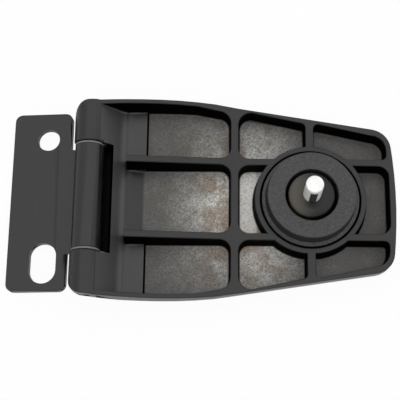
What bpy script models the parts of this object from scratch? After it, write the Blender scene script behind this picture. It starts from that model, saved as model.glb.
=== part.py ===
"""Liftgate hinge: a rolled steel leaf and a ribbed die-cast cover with a glass stud.

The hinge lies on the outer face of its cover, with the stud up.
+X runs from the leaf to the cover's tip, +Y runs along the hinge pin and +Z is up.
The origin is the middle of the base of the box around the whole hinge.
Sizes are in millimetres, with X measured from the pin, and a mesh is made in metres.
"""

import math

import bmesh
import bpy
from mathutils import Vector

MM = 0.001

# Gaps between pieces
RUNNING_GAP = 0.10
SEAT_GAP = 0.08
FACE_GAP = 0.25
REST_GAP = 0.30

# Cutters: clearance of a mouth over its surface, overrun past it, laps and drum margin
MOUTH_CLEARANCE = 0.02
CUTTER_OVERRUN = 4.0
FLOOR_LAP = 0.01
DRUM_MARGIN = 0.3
WELD = 0.001

# Length of straight side that gives a corner its direction
SIDE_RUN = 30.0

# Rotation that stands a level outline on edge, square to the pin
ON_EDGE = (math.radians(90.0), 0.0, 0.0)

# Hinge pin and bushings
PIN_RADIUS = 2.9
PIN_CHAMFER = 0.5
PIN_RECESS = 0.6
BUSH_WALL = 0.45
BUSH_LENGTH = 12.0
FLANGE_THICKNESS = 0.9
FLANGE_STEP_DOWN = 0.25

# Leaf
SHEET = 3.2
LEAF_LENGTH = 36.9
LEAF_WIDTH = 84.8
LEAF_CORNER = 3.4
BARREL_LENGTH = 48.6
SHOULDER_REACH = 9.4
RELIEF_RADIUS = 1.3
ROUND_HOLE = 10.4
SLOT_WIDTH = 12.4
SLOT_LENGTH = 18.8
HOLE_REACH = 20.4
HOLE_SPACING = 59.1

# Cover, seen from above
COVER_REACH = 140.9
HINGE_HALF_WIDTH = 45.7
HINGE_CORNER = 6.8
SHOULDER_X = 33.0
SHOULDER_HALF_WIDTH = 47.1
TAPER_X = 58.0
TAPER_HALF_WIDTH = 45.75
TIP_HALF_WIDTH = 32.75
TIP_BOW_RADIUS = 222.0
TIP_BOW_HALF = 24.0
TIP_CORNER = 10.0
SIDE_WALL = 2.1
TIP_WALL = 2.9

# Cover, seen from the side, heights above its outer face
RIM_HEIGHT = 11.5
RIM_RISE_ANGLE = math.radians(4.27)
RIM_RISE_X = 69.5
PIN_HEIGHT = 11.0
FLOOR_HEIGHT = 2.7
WEB_HEIGHT = 4.4
WEB_ANGLE = math.radians(46.7)
WEB_FILLET = 8.0
HEEL_X = 16.0
OUTER_EDGE = 4.6
WALL_DRAFT = math.radians(3.6)
RIM_EDGE = 0.45
FLOOR_FILLET = 0.9

# Knuckles and the cut-out between them
KNUCKLE_RADIUS = 7.1
KNUCKLE_FLAT = 0.1
KNUCKLE_EDGE = 0.9
CUTOUT_REACH = 10.9
CUTOUT_CORNER = 1.6
SKIN_REACH = 5.8
SKIN_THICKNESS = 1.53

# Ribs
RIB_INNER = 16.2
RIB_WIDTH = 3.15
RIB_END_X = 17.3
STEP_X = 26.0
STEP_RUN = 0.9
CROSS_RIB_X = 65.4
CROSS_RIB_WIDTH = 3.45
SHORT_RIB_WIDTH = 3.7
POCKET_CORNER = 5.0
WALL_CORNER = 6.0
SMALL_CORNER = 2.2

# Glass end: ring rib, pad, centring bush and stud
STUD_X = 101.8
RING_INNER = 23.0
RING_WALL = 2.5
RECESS_DEPTH = 4.5
PAD_RADIUS = 20.6
PAD_FLANGE_RADIUS = 22.3
PAD_FLANGE_RISE = 0.6
PAD_HEIGHT = 7.6
PAD_HOLE = 11.9
PAD_EDGE = 0.8
PAD_LEAN = 0.5
PAD_SOFT = 0.35
PAD_FLANGE_LEAN = 0.2
BUSH_RADIUS = 10.5
BUSH_RIM = 6.6
BUSH_TOP = 8.4
BUSH_LIP = 6.2
STUD_RADIUS = 4.0
STUD_TIP = 23.2
STUD_CHAMFER = 0.7
STUD_SOCKET_FLOOR = 2.6

# Fineness of round stretches
TURN_STEPS = 72
BORE_STEPS = 36
STUD_STEPS = 48
BUSH_STEPS = 56
HOLE_STEPS = 44
ROLL_STEPS = 32
END_CORNER_STEPS = 7
CORNER_STEPS = 5
FILLET_STEPS = 4
TIP_STEPS = 3
SMALL_STEPS = 2

# A fillet wider than this gets the finer steps
BROAD_FILLET = 2.0

# Heights that a foot fillet and a rounded lip need, as multiples of their radius
FOOT_ROOM = 2.4
LIP_ROOM = 6.0

# Least share of a step that a sharp corner keeps when an outline shrinks
MITRE_LEAST = 0.3

# Sizes that follow from the ones above
BUSH_BORE = PIN_RADIUS + RUNNING_GAP
BUSH_OUTER = BUSH_BORE + BUSH_WALL
BARREL_BORE = BUSH_OUTER + SEAT_GAP
BARREL_RADIUS = BARREL_BORE + SHEET
FLANGE_RADIUS = BARREL_RADIUS - FLANGE_STEP_DOWN
FLANGE_FACE = BARREL_LENGTH / 2 + FACE_GAP
KNUCKLE_FACE = FLANGE_FACE + FLANGE_THICKNESS + FACE_GAP
LEAF_TOP = BARREL_BORE
LEAF_DROOP = math.asin(PIN_HEIGHT / math.hypot(LEAF_LENGTH, BARREL_RADIUS)) - math.atan(
    BARREL_RADIUS / LEAF_LENGTH
)
LEAF_REACH = LEAF_LENGTH * math.cos(LEAF_DROOP) - LEAF_TOP * math.sin(LEAF_DROOP)
PIN_X = (LEAF_REACH - COVER_REACH) / 2
RIB_OUTER = RIB_INNER + RIB_WIDTH
CROSS_RIB_FAR = CROSS_RIB_X + CROSS_RIB_WIDTH
RECESS_FLOOR = RIM_HEIGHT - RECESS_DEPTH


def clear_scene():
    """Remove every object that a new file starts with."""
    for thing in list(bpy.data.objects):
        bpy.data.objects.remove(thing, do_unlink=True)


def collection(name):
    """Make a collection and link it to the scene."""
    made = bpy.data.collections.new(name)
    bpy.context.scene.collection.children.link(made)
    return made


def material(name, colour, roughness, metallic):
    """Make a Principled material of one colour."""
    made = bpy.data.materials.new(name)
    made.use_nodes = True
    shader = made.node_tree.nodes["Principled BSDF"]
    shader.inputs["Base Color"].default_value = (*colour, 1.0)
    shader.inputs["Roughness"].default_value = roughness
    shader.inputs["Metallic"].default_value = metallic
    made.diffuse_color = (*colour, 1.0)
    return made


def linked(name, mesh, home):
    """Link a mesh as an object."""
    made = bpy.data.objects.new(name, mesh)
    home.objects.link(made)
    return made


def as_cutter(thing):
    """Keep an object out of renders, because it only cuts or joins."""
    thing.hide_render = True
    thing.display_type = "WIRE"
    return thing


def boolean(target, tool, operation, solver="EXACT"):
    """Cut or join a target with another object."""
    step = target.modifiers.new(f"{operation.title()} {tool.name}", "BOOLEAN")
    step.object = tool
    step.operation = operation
    step.solver = solver


def quarter(steps, start=0.0, end=90.0):
    """Angles in radians in equal steps from start to end, given in degrees."""
    return [math.radians(start + (end - start) * step / steps) for step in range(steps + 1)]


def corner_arc(before, corner, after, radius, steps=CORNER_STEPS):
    """Points of an arc that rounds the corner between two straight sides."""
    here = Vector(corner)
    inward = (Vector(before) - here).normalized()
    outward = (Vector(after) - here).normalized()
    opening = inward.angle(outward)
    centre = here + (inward + outward).normalized() * (radius / math.sin(opening / 2))
    first = here + inward * (radius / math.tan(opening / 2)) - centre
    last = here + outward * (radius / math.tan(opening / 2)) - centre
    sweep = first.angle_signed(last)
    points = []
    for step in range(steps + 1):
        angle = -sweep * step / steps
        turned_x = first.x * math.cos(angle) - first.y * math.sin(angle)
        turned_y = first.x * math.sin(angle) + first.y * math.cos(angle)
        points.append((centre.x + turned_x, centre.y + turned_y))
    return points


def rounded(corners, steps=CORNER_STEPS):
    """Turn a closed outline of (x, y, radius) corners into points."""
    points = []
    for index, (x, y, radius) in enumerate(corners):
        if radius:
            after = corners[(index + 1) % len(corners)][:2]
            points += corner_arc(corners[index - 1][:2], (x, y), after, radius, steps)
        else:
            points.append((x, y))
    return points


def plate(name, outline, thickness, home, place, turn):
    """Give a flat outline a thickness, half to each side of its own plane.

    Args:
        name: the object's name.
        outline: closed outline of (x, y) points in the plate's plane.
        thickness: the whole thickness.
        home: the collection for the object.
        place: where the outline's zero lies.
        turn: rotation that takes the outline's plane from level to its own.
    """
    curve = bpy.data.curves.new(name, "CURVE")
    curve.dimensions = "2D"
    curve.fill_mode = "BOTH"
    curve.extrude = thickness / 2 * MM
    line = curve.splines.new("POLY")
    line.points.add(len(outline) - 1)
    for point, (x, y) in zip(line.points, outline):
        point.co = (x * MM, y * MM, 0.0, 1.0)
    line.use_cyclic_u = True
    drawn = linked(f"{name}_outline", curve, home)
    drawn.location = Vector(place) * MM
    drawn.rotation_euler = turn
    bpy.context.view_layer.update()
    graph = bpy.context.evaluated_depsgraph_get()
    mesh = bpy.data.meshes.new_from_object(drawn.evaluated_get(graph))
    bm = bmesh.new()
    bm.from_mesh(mesh)
    bmesh.ops.remove_doubles(bm, verts=bm.verts, dist=WELD * MM)
    bmesh.ops.recalc_face_normals(bm, faces=bm.faces)
    bm.to_mesh(mesh)
    bm.free()
    made = linked(name, mesh, home)
    made.matrix_world = drawn.matrix_world.copy()
    bpy.data.objects.remove(drawn, do_unlink=True)
    return made


def turned(name, profile, steps, home, place=(0.0, 0.0, 0.0), lying=False):
    """Turn a profile of (radius, height) points, from the top down its outer side.

    Args:
        name: the object's name.
        profile: the points, closed into a ring if it starts away from the axis.
        steps: how many flats make a whole turn.
        home: the collection for the object.
        place: X from the pin, Y and Z of the profile's zero.
        lying: whether the axis lies along Y and not along Z.
    """
    mesh = bpy.data.meshes.new(name)
    points = [(radius * MM, 0.0, height * MM) for radius, height in profile]
    edges = [(index, index + 1) for index in range(len(points) - 1)]
    if profile[0][0] > 0.0:
        edges.append((len(points) - 1, 0))
    mesh.from_pydata(points, edges, [])
    made = linked(name, mesh, home)
    made.location = (
        (PIN_X + place[0]) * MM,
        place[1] * MM,
        place[2] * MM,
    )
    if lying:
        made.rotation_euler = (math.radians(-90.0), 0.0, 0.0)
    screw = made.modifiers.new("Turn", "SCREW")
    screw.axis = "Z"
    screw.steps = steps
    screw.render_steps = steps
    screw.use_merge_vertices = True
    screw.merge_threshold = 0.00001
    return made


def rim_level(x):
    """Height of the rim and rib tops: flat at the tip, rising towards the hinge."""
    return RIM_HEIGHT + max(0.0, RIM_RISE_X - x) * math.tan(RIM_RISE_ANGLE)


def knuckle_height(x):
    """How far the knuckles' round outline stands above and below the pin at x."""
    return math.sqrt(max(0.0, KNUCKLE_RADIUS**2 - x**2))


def heel_slope():
    """Slope of the outer face where it rises to touch the underside of the knuckles."""
    distance = math.hypot(HEEL_X, PIN_HEIGHT)
    return math.tan(math.asin(KNUCKLE_RADIUS / distance) - math.atan2(PIN_HEIGHT, HEEL_X))


def crest_x():
    """Where the sloping rim runs into the round top of the knuckles."""
    x = 0.0
    while PIN_HEIGHT + knuckle_height(x) > rim_level(x):
        x += 0.01
    return x


def slope_start():
    """Where the web's slope leaves the knuckles, as (x, z)."""
    x = KNUCKLE_RADIUS * math.sin(WEB_ANGLE)
    return x, PIN_HEIGHT + KNUCKLE_RADIUS * math.cos(WEB_ANGLE)


def web_stations():
    """Values of x at which the web's side profile bends, from the knuckles to its flat."""
    x, z = slope_start()
    foot = x + (z - WEB_HEIGHT) / math.tan(WEB_ANGLE)
    reach = WEB_FILLET * math.tan(WEB_ANGLE / 2)
    centre = foot + reach
    angles = [WEB_ANGLE * step / CORNER_STEPS for step in range(CORNER_STEPS, -1, -1)]
    return [x] + [centre - WEB_FILLET * math.sin(angle) for angle in angles]


def web_level(x):
    """Height of the web: round the knuckle, down its slope and into the flat."""
    start_x, start_z = slope_start()
    if x <= start_x:
        return PIN_HEIGHT + knuckle_height(x)
    bends = web_stations()[1:]
    if x <= bends[0]:
        return start_z - (x - start_x) * math.tan(WEB_ANGLE)
    centre = bends[-1]
    if x >= centre:
        return WEB_HEIGHT
    return WEB_HEIGHT + WEB_FILLET - math.sqrt(WEB_FILLET**2 - (centre - x) ** 2)


def side_floor(x):
    """Floor of a side pocket: the web, a short step and the pocket's own floor."""
    if x < STEP_X:
        return web_level(x)
    drop = (WEB_HEIGHT - FLOOR_HEIGHT) / STEP_RUN
    return max(FLOOR_HEIGHT, WEB_HEIGHT - (x - STEP_X) * drop)


def middle_floor(x):
    """Floor of the middle pocket: the web, a long ramp and the pocket's own floor."""
    flat = web_stations()[-1]
    if x < flat:
        return web_level(x)
    drop = (WEB_HEIGHT - FLOOR_HEIGHT) / (STEP_X - flat)
    return max(FLOOR_HEIGHT, WEB_HEIGHT - (x - flat) * drop)


def pocket_floor(_x):
    """Floor of the pockets beyond the cross rib."""
    return FLOOR_HEIGHT


def lap(x):
    """How far a pocket's cutter stays above the bay's cut where the two lap."""
    return FLOOR_LAP if x < RIB_END_X else 0.0


def side_cut(x):
    """Underside of a side pocket's cutter."""
    return side_floor(x) + lap(x)


def middle_cut(x):
    """Underside of the middle pocket's cutter."""
    return middle_floor(x) + lap(x)


def body_roof(x):
    """Top of the cover's outer form: the round knuckles, then the rim."""
    if x < crest_x():
        return PIN_HEIGHT + knuckle_height(x)
    return rim_level(x)


def body_base(x):
    """Underside of the cover's outer form: the round knuckles, the heel, then the flat face."""
    slope = heel_slope()
    touch = KNUCKLE_RADIUS * math.sin(math.atan(slope))
    if x < touch:
        return PIN_HEIGHT - knuckle_height(x)
    return max(0.0, (x - HEEL_X) * slope)


def shifted(chain, square_until):
    """Direction in which each point of an outline moves when the outline shrinks.

    Args:
        chain: closed outline, counter-clockwise.
        square_until: points with a smaller x move straight across, along Y.
    """
    moves = []
    count = len(chain)
    for index, here in enumerate(chain):
        before = Vector(here) - Vector(chain[index - 1])
        after = Vector(chain[(index + 1) % count]) - Vector(here)
        if here[0] < square_until:
            moves.append(Vector((0.0, -math.copysign(1.0, here[1] - centre_y(chain)))))
            continue
        first = Vector((-before.y, before.x)).normalized()
        second = Vector((-after.y, after.x)).normalized()
        bisector = (first + second).normalized()
        moves.append(bisector / max(MITRE_LEAST, bisector.dot(first)))
    return moves


def centre_y(chain):
    """Middle of an outline between its lowest and highest y."""
    values = [y for _, y in chain]
    return (min(values) + max(values)) / 2


def between(name, low, high, base, roof, edges, home):
    """A drafted solid between two surfaces, both given as functions of x.

    Each chain runs from the hinge to the tip, and the two pair up point by point, so that
    the strips across the base and the roof stay flat.

    Args:
        name: the object's name.
        low: outline points on the -Y side.
        high: outline points on the +Y side.
        base: height of the underside at x.
        roof: height of the top at x.
        edges: radius at the foot, signed radius at the top, and extra height above the roof.
        home: the collection for the object.
    """
    foot, lip, above = edges
    chain = list(low) + list(reversed(high))
    moves = shifted(chain, SHOULDER_X if low[0][0] < SHOULDER_X else -math.inf)
    steps = FILLET_STEPS if foot > BROAD_FILLET else SMALL_STEPS
    rings = []
    for angle in quarter(steps):
        ring = []
        for (x, y), move in zip(chain, moves):
            room = min(1.0, (roof(x) - base(x)) / (FOOT_ROOM * foot))
            lift = foot * room * (1.0 - math.cos(angle))
            inset = foot * room * (1.0 - math.sin(angle))
            side = math.tan(WALL_DRAFT) * max(0.0, roof(x) - base(x) - lift)
            px, py = Vector((x, y)) + move * (inset + side)
            ring.append((px, py, base(px) + lift))
        rings.append(ring)
    for angle in quarter(SMALL_STEPS):
        ring = []
        for (x, y), move in zip(chain, moves):
            room = min(1.0, (roof(x) - base(x)) / (LIP_ROOM * abs(lip)))
            px, py = Vector((x, y)) + move * (lip * room * (1.0 - math.cos(angle)))
            mouth = MOUTH_CLEARANCE if above else 0.0
            drop = abs(lip) * room * (1.0 - math.sin(angle)) - mouth
            ring.append((px, py, roof(px) - drop))
        rings.append(ring)
    if above:
        rings.append([(x, y, z + above) for x, y, z in rings[-1]])
    mesh = bpy.data.meshes.new(name)
    bm = bmesh.new()
    rows = [[bm.verts.new(Vector((PIN_X + x, y, z)) * MM) for x, y, z in ring] for ring in rings]
    count = len(chain)
    for lower, upper in zip(rows, rows[1:]):
        for index in range(count):
            beside = (index + 1) % count
            bm.faces.new((lower[index], lower[beside], upper[beside], upper[index]))
    for index in range(len(low) - 1):
        across = count - 1 - index
        bottom, top = rows[0], rows[-1]
        bm.faces.new((bottom[across], bottom[across - 1], bottom[index + 1], bottom[index]))
        bm.faces.new((top[index], top[index + 1], top[across - 1], top[across]))
    bm.to_mesh(mesh)
    bm.free()
    return linked(name, mesh, home)


def mirrored(chain):
    """The same points on the other side of the middle line."""
    return [(x, -y) for x, y in chain]


def cover_half_width(x):
    """Distance from the middle to the cover's outline between its two end corners."""
    if x < SHOULDER_X:
        part = 1.0 - (x / SHOULDER_X - 1.0) ** 2
        return HINGE_HALF_WIDTH + (SHOULDER_HALF_WIDTH - HINGE_HALF_WIDTH) * part
    if x < TAPER_X:
        part = (x - SHOULDER_X) / (TAPER_X - SHOULDER_X)
        return SHOULDER_HALF_WIDTH + (TAPER_HALF_WIDTH - SHOULDER_HALF_WIDTH) * part**2
    part = (x - TAPER_X) / (COVER_REACH - TAPER_X)
    return TAPER_HALF_WIDTH + (TIP_HALF_WIDTH - TAPER_HALF_WIDTH) * part


def wall_y(x):
    """Inner face of the side wall at the rim."""
    return cover_half_width(x) - SIDE_WALL


def side_stations():
    """Values of x that divide the side between its widest point and its taper."""
    step = (TAPER_X - SHOULDER_X) / 3
    return [SHOULDER_X, SHOULDER_X + step, SHOULDER_X + 2 * step]


def tip_x(y):
    """Where the bowed end lies at a distance y from the middle line."""
    return COVER_REACH - y**2 / (2 * TIP_BOW_RADIUS)


def tip_corner():
    """Where the side's taper meets the tangent at the end of the bow, as (x, y)."""
    taper = (TIP_HALF_WIDTH - TAPER_HALF_WIDTH) / (COVER_REACH - TAPER_X)
    lean = TIP_BOW_HALF / TIP_BOW_RADIUS
    reach = tip_x(TIP_BOW_HALF) + lean * TIP_BOW_HALF
    y = (TAPER_HALF_WIDTH + taper * (reach - TAPER_X)) / (1 + taper * lean)
    return reach - lean * y, y


def tip_bow():
    """Points of the bowed end, from the corner to the first point off the middle line."""
    steps = [TIP_BOW_HALF * (step - 0.5) / TIP_STEPS for step in range(TIP_STEPS, 0, -1)]
    return [(tip_x(y), y) for y in steps]


def cover_half_outline():
    """One half of the cover's outline, from the knuckles to the tip."""
    left = -KNUCKLE_RADIUS + KNUCKLE_FLAT
    half = HINGE_HALF_WIDTH
    corner = corner_arc((left, 0.0), (left, half), (0.0, half), HINGE_CORNER, END_CORNER_STEPS)
    crest = crest_x()
    stations = [crest / 3, crest * 2 / 3, crest, (crest + HEEL_X) / 2, HEEL_X]
    stations += [(HEEL_X + SHOULDER_X) / 2, *side_stations(), TAPER_X, RIM_RISE_X]
    sides = [(x, cover_half_width(x)) for x in stations]
    end = corner_arc(
        (TAPER_X, TAPER_HALF_WIDTH),
        tip_corner(),
        (tip_x(TIP_BOW_HALF), TIP_BOW_HALF),
        TIP_CORNER,
        END_CORNER_STEPS,
    )
    return corner + sides + end + tip_bow()


def cover_body(home):
    """The cover's outer form, with a drafted side and a rounded outer edge."""
    high = cover_half_outline()
    edges = (OUTER_EDGE, RIM_EDGE, 0.0)
    return between("cover_casting", mirrored(high), high, body_base, body_roof, edges, home)


def pocket(name, low, high, floor, home):
    """A cutter for one pocket, with a rounded floor edge and rib tops rounded at its mouth."""
    edges = (FLOOR_FILLET, -RIM_EDGE, CUTTER_OVERRUN)
    return as_cutter(between(name, low, high, floor, rim_level, edges, home))


def end_chains(x, low_y, high_y, low_radius, high_radius):
    """Ends of the low and high chains of a pocket that is closed by a flat wall at x."""
    low = corner_arc((x - SIDE_RUN, low_y), (x, low_y), (x, high_y), low_radius)
    high = corner_arc((x - SIDE_RUN, high_y), (x, high_y), (x, low_y), high_radius)
    return low, high


def start_chains(x, low_y, high_y, low_radius, high_radius):
    """Starts of the low and high chains of a pocket that is closed by a flat wall at x."""
    low = corner_arc((x, high_y), (x, low_y), (x + SIDE_RUN, low_y), low_radius)
    high = corner_arc((x, low_y), (x, high_y), (x + SIDE_RUN, high_y), high_radius)
    return low, high


def hinge_side_pockets():
    """Chains and floors of the across bay and of the pockets up to the cross rib."""
    stations = web_stations()
    crest = crest_x()
    start = crest + (stations[0] - crest) / 2
    across = [start] + stations[:4] + [RIB_END_X]
    half = [(x, wall_y(x)) for x in across]
    found = {"bay": (mirrored(half), half, web_level)}
    bends = [x for x in stations if x > stations[2]]
    inner = [x for x in bends if x < RIB_END_X - 1.0][-1:] + [RIB_END_X]
    flat = bends[-1]
    ramp = inner + [flat, STEP_X, STEP_X + STEP_RUN, *side_stations()]
    end = CROSS_RIB_X
    low_end, high_end = end_chains(end, -RIB_INNER, RIB_INNER, POCKET_CORNER, POCKET_CORNER)
    middle = [(x, RIB_INNER) for x in ramp]
    found["pocket_middle_left"] = (mirrored(middle) + low_end, middle + high_end, middle_cut)
    low_end, high_end = end_chains(end, RIB_OUTER, wall_y(end), POCKET_CORNER, WALL_CORNER)
    low = [(x, RIB_OUTER) for x in ramp] + low_end
    high = [(x, wall_y(x)) for x in ramp] + high_end
    found["pocket_left_upper"] = (low, high, side_cut)
    found["pocket_left_lower"] = (mirrored(high), mirrored(low), side_cut)
    return found


def glass_side_pockets():
    """Chains and floors of the pockets between the cross rib and the tip."""
    far = CROSS_RIB_FAR
    short_a = STUD_X - SHORT_RIB_WIDTH / 2
    short_b = STUD_X + SHORT_RIB_WIDTH / 2
    tip = tip_x(RIB_OUTER) - TIP_WALL
    found = {}
    starts = start_chains(far, RIB_OUTER, wall_y(far), POCKET_CORNER, WALL_CORNER)
    ends = end_chains(short_a, RIB_OUTER, wall_y(short_a), SMALL_CORNER, SMALL_CORNER)
    low, high = (a + b for a, b in zip(starts, ends))
    found["pocket_middle_upper"] = (low, high, pocket_floor)
    found["pocket_middle_lower"] = (mirrored(high), mirrored(low), pocket_floor)
    starts = start_chains(short_b, RIB_OUTER, wall_y(short_b), SMALL_CORNER, SMALL_CORNER)
    ends = end_chains(tip, RIB_OUTER, wall_y(tip), SMALL_CORNER, TIP_CORNER - TIP_WALL)
    low, high = (a + b for a, b in zip(starts, ends))
    found["pocket_right_upper"] = (low, high, pocket_floor)
    found["pocket_right_lower"] = (mirrored(high), mirrored(low), pocket_floor)
    low, high = start_chains(far, -RIB_INNER, RIB_INNER, POCKET_CORNER, POCKET_CORNER)
    reach = STUD_X - RING_INNER / 2
    found["crescent"] = (low + [(reach, -RIB_INNER)], high + [(reach, RIB_INNER)], pocket_floor)
    end = COVER_REACH - TIP_WALL
    low, high = end_chains(end, -RIB_INNER, RIB_INNER, POCKET_CORNER, POCKET_CORNER)
    reach = STUD_X + RING_INNER / 2
    found["pocket_tip"] = ([(reach, -RIB_INNER)] + low, [(reach, RIB_INNER)] + high, pocket_floor)
    return found


def ring_rib(home):
    """The round rib at the stud, solid until its recess is cut."""
    outer = RING_INNER + RING_WALL
    top = RIM_HEIGHT - MOUTH_CLEARANCE
    foot = FLOOR_HEIGHT - MOUTH_CLEARANCE
    spread = outer + math.tan(WALL_DRAFT) * (top - foot)
    profile = [(0.0, top)]
    for angle in quarter(2, 90.0, 0.0):
        level = top - RIM_EDGE * (1.0 - math.sin(angle))
        profile.append((outer - RIM_EDGE * (1.0 - math.cos(angle)), level))
    for angle in quarter(2):
        level = foot + FLOOR_FILLET * (1.0 - math.sin(angle))
        profile.append((spread + FLOOR_FILLET * (1.0 - math.cos(angle)), level))
    profile += [(spread + FLOOR_FILLET, foot / 2), (0.0, foot / 2)]
    return as_cutter(turned("ring_rib", profile, TURN_STEPS, home, (STUD_X, 0.0, 0.0)))


def recess(home):
    """The round seat inside the ring rib, with the stud's blind hole in its middle."""
    socket = STUD_RADIUS + SEAT_GAP
    lip = [
        (
            RING_INNER + RIM_EDGE * (1.0 - math.cos(angle)),
            RIM_HEIGHT + MOUTH_CLEARANCE - RIM_EDGE * (1.0 - math.sin(angle)),
        )
        for angle in quarter(2, 90.0, 0.0)
    ]
    profile = [
        (0.0, RIM_HEIGHT + CUTTER_OVERRUN),
        (RING_INNER + RIM_EDGE, RIM_HEIGHT + CUTTER_OVERRUN),
        *lip,
        (RING_INNER - math.tan(WALL_DRAFT) * RECESS_DEPTH, RECESS_FLOOR),
        (socket, RECESS_FLOOR),
        (socket, STUD_SOCKET_FLOOR),
        (0.0, STUD_SOCKET_FLOOR),
    ]
    return as_cutter(turned("recess", profile, TURN_STEPS, home, (STUD_X, 0.0, 0.0)))


def pin_bore(home):
    """The hole for the pin through both knuckles."""
    reach = HINGE_HALF_WIDTH + CUTTER_OVERRUN
    radius = PIN_RADIUS + SEAT_GAP
    profile = [(0.0, reach), (radius, reach), (radius, -reach), (0.0, -reach)]
    place = (0.0, 0.0, PIN_HEIGHT)
    return as_cutter(turned("pin_bore", profile, BORE_STEPS, home, place, lying=True))


def cutout(home):
    """The gap between the knuckles, open below the barrel beyond a short skin."""
    far = -KNUCKLE_RADIUS - CUTTER_OVERRUN
    high = PIN_HEIGHT + KNUCKLE_RADIUS + CUTTER_OVERRUN
    skin_top = body_base(SKIN_REACH) + SKIN_THICKNESS
    corners = [
        (far, -CUTTER_OVERRUN, 0.0),
        (SKIN_REACH, -CUTTER_OVERRUN, 0.0),
        (SKIN_REACH, skin_top, 0.0),
        (CUTOUT_REACH, skin_top, CUTOUT_CORNER),
        (CUTOUT_REACH, high, 0.0),
        (far, high, 0.0),
    ]
    outline = rounded(corners)
    return as_cutter(plate("cutout", outline, 2 * KNUCKLE_FACE, home, (PIN_X, 0.0, 0.0), ON_EDGE))


def knuckle_lip(home):
    """A drum that rounds the inner edge of both knuckles."""
    face = KNUCKLE_FACE + FLOOR_LAP
    core = KNUCKLE_RADIUS + MOUTH_CLEARANCE - KNUCKLE_EDGE
    half = [
        (
            core + KNUCKLE_EDGE * math.cos(angle),
            face + KNUCKLE_EDGE * (1.0 - math.sin(angle)),
        )
        for angle in quarter(SMALL_STEPS + 1, 90.0, 0.0)
    ]
    rim = half[-1][0] + DRUM_MARGIN
    profile = [(0.0, face), half[0], *half[1:], (rim, half[-1][1])]
    profile += [(rim, -half[-1][1])] + [(radius, -y) for radius, y in reversed(half)] + [(0.0, -face)]
    place = (0.0, 0.0, PIN_HEIGHT)
    return as_cutter(turned("knuckle_lip", profile, TURN_STEPS, home, place, lying=True))


def cover_casting(home, tools):
    """The die-cast cover: rim, pockets, ribs, web, knuckles and ring rib in one piece."""
    cover = cover_body(home)
    pockets = hinge_side_pockets() | glass_side_pockets()
    for name, (low, high, floor) in pockets.items():
        boolean(cover, pocket(name, low, high, floor, tools), "DIFFERENCE", "MANIFOLD")
    boolean(cover, ring_rib(tools), "UNION", "MANIFOLD")
    for cutter in (recess, cutout, knuckle_lip, pin_bore):
        boolean(cover, cutter(tools), "DIFFERENCE", "MANIFOLD")
    return cover


def leaf_point(along, above):
    """A point of the drooping leaf, from its reach past the pin and its height above the pin."""
    x = -along * math.cos(LEAF_DROOP) - above * math.sin(LEAF_DROOP)
    z = -along * math.sin(LEAF_DROOP) + above * math.cos(LEAF_DROOP)
    return x, PIN_HEIGHT + z


def roll_profile():
    """Side view of the leaf: flat sheet that rolls under, round and over the pin."""
    end = math.asin((SHEET + REST_GAP - BARREL_RADIUS) / BARREL_RADIUS)
    sweep = math.pi * 1.5 + end
    outer = [-math.pi / 2 + sweep * step / ROLL_STEPS for step in range(ROLL_STEPS + 1)]
    points = [(LEAF_LENGTH, -BARREL_RADIUS)]
    points += [(-BARREL_RADIUS * math.cos(a), BARREL_RADIUS * math.sin(a)) for a in outer]
    points += [
        (-BARREL_BORE * math.cos(a), BARREL_BORE * math.sin(a)) for a in reversed(outer)
    ]
    points.append((LEAF_LENGTH, -BARREL_BORE))
    return [leaf_point(along, above) for along, above in points]


def leaf_cutter(name, outline, home):
    """Cut an outline of (reach past the pin, y) points square through the drooping leaf."""
    points = [(-along, y) for along, y in outline]
    thickness = 2 * (BARREL_RADIUS + CUTTER_OVERRUN)
    turn = (0.0, -LEAF_DROOP, 0.0)
    return as_cutter(plate(name, points, thickness, home, (PIN_X, 0.0, PIN_HEIGHT), turn))


def leaf_outline():
    """The leaf from above: a wide flag on a neck as long as the barrel."""
    half = LEAF_WIDTH / 2
    neck = BARREL_LENGTH / 2
    far = -BARREL_RADIUS - CUTTER_OVERRUN
    corners = [
        (far, -neck, 0.0),
        (far, neck, 0.0),
        (SHOULDER_REACH, neck, RELIEF_RADIUS),
        (SHOULDER_REACH, half, LEAF_CORNER),
        (LEAF_LENGTH, half, LEAF_CORNER),
        (LEAF_LENGTH, -half, LEAF_CORNER),
        (SHOULDER_REACH, -half, LEAF_CORNER),
        (SHOULDER_REACH, -neck, RELIEF_RADIUS),
    ]
    return rounded(corners)


def round_outline(along, y, width, length):
    """A hole's outline: round, or with its ends round if it is longer than wide."""
    radius = width / 2
    straight = (length - width) / 2
    points = []
    for step in range(HOLE_STEPS):
        angle = math.tau * (step + 0.5) / HOLE_STEPS
        shift = math.copysign(straight, math.sin(angle))
        points.append((along + radius * math.cos(angle), y + radius * math.sin(angle) + shift))
    return points


def leaf_plate(home, tools):
    """The steel leaf: one sheet, rolled round the pin, with a round hole and a slot."""
    width = LEAF_WIDTH + 2 * CUTTER_OVERRUN
    leaf = plate("leaf_plate", roll_profile(), width, home, (PIN_X, 0.0, 0.0), ON_EDGE)
    boolean(leaf, leaf_cutter("leaf_outline", leaf_outline(), tools), "INTERSECT")
    spacing = HOLE_SPACING / 2
    hole = round_outline(HOLE_REACH, spacing, ROUND_HOLE, ROUND_HOLE)
    boolean(leaf, leaf_cutter("leaf_hole", hole, tools), "DIFFERENCE")
    slot = round_outline(HOLE_REACH, -spacing, SLOT_WIDTH, SLOT_LENGTH)
    boolean(leaf, leaf_cutter("leaf_slot", slot, tools), "DIFFERENCE")
    return leaf


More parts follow.
